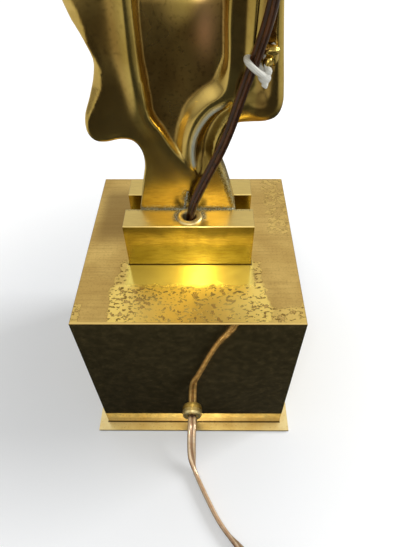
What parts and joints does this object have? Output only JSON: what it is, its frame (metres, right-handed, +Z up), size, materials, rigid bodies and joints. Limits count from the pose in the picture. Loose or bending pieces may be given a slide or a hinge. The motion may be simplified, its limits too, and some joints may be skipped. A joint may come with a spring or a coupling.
{
  "type": "figural table lamp",
  "caption": "Hollow-backed bronze figure relief in a slotted brass block on a weighted brass cube, with lampholder, cone shade, bulb, in-line switch and plugged mains lead.",
  "frame": {"origin": "the middle of the plinth's underside on the surface the lamp stands on", "axes": "+Z up, +Y the front of the lamp where the figure faces, -Y the rear with the lead's bush, +X to the right when seen from the rear"},
  "size_m": [0.32, 0.4266, 0.632],
  "materials": {
    "felt": "dark green felt",
    "bright_brass": "bright turned brass",
    "aged_brass": "satin brass with worn lacquer",
    "raw_iron": "as cast",
    "plated_steel": "zinc plated",
    "clear_plastic": "natural nylon",
    "brown_lead": "translucent brown twin flex",
    "bronze": "polished bronze with a brown patina",
    "string": "white string",
    "black_plastic": "moulded phenolic",
    "porcelain": "glazed porcelain",
    "white_wire": "white enamelled wire",
    "shade_fabric": "cream linen on a stiff backing",
    "opal_glass": "opal, frosted inside",
    "brown_plastic": "dark brown moulded"
  },
  "bodies": {
    "lamp": {"felt_pad": "felt", "base_plate": "bright_brass", "base_screws": "bright_brass", "plinth_shell": "aged_brass", "ballast_block": "raw_iron", "tie_rod": "plated_steel", "rod_washer": "plated_steel", "rod_nut": "plated_steel", "mounting_block": "aged_brass", "eyelet": "bright_brass", "rear_bush": "bright_brass", "rear_bush_nut": "bright_brass", "terminal_block": "clear_plastic", "cord_clamp": "plated_steel", "clamp_screws": "plated_steel", "inner_lead": "brown_lead", "figure_casting": "bronze", "riser_flex": "brown_lead", "lug_tie": "string", "stem_tube": "bright_brass", "stem_collar": "bright_brass", "lampholder_cap": "black_plastic", "lampholder_skirt": "black_plastic", "lampholder_insert": "porcelain", "screw_liner": "bright_brass", "centre_contact": "bright_brass", "shade_ring_lower": "black_plastic", "shade_ring_upper": "black_plastic", "shade_spider": "white_wire", "shade_top_ring": "white_wire", "shade_cover": "shade_fabric", "bulb_cap": "plated_steel", "bulb_glass": "opal_glass", "switch_base": "brown_plastic", "switch_cover": "brown_plastic", "rocker_pin": "plated_steel", "switch_screws": "plated_steel", "mains_lead": "brown_lead", "mains_link": "brown_lead", "mains_coil": "brown_lead", "mains_tail": "brown_lead", "plug_body": "brown_plastic", "plug_pins": "bright_brass"},
    "rocker": {"switch_rocker": "brown_plastic"}
  },
  "joints": [
    {"name": "rocker_tilt", "type": "hinge", "parent": "lamp", "child": "rocker", "pos_m": [0.049, -0.176, 0.013], "axis": [0.8988, 0.4384, 0], "range_deg": [0, 16]}
  ]
}
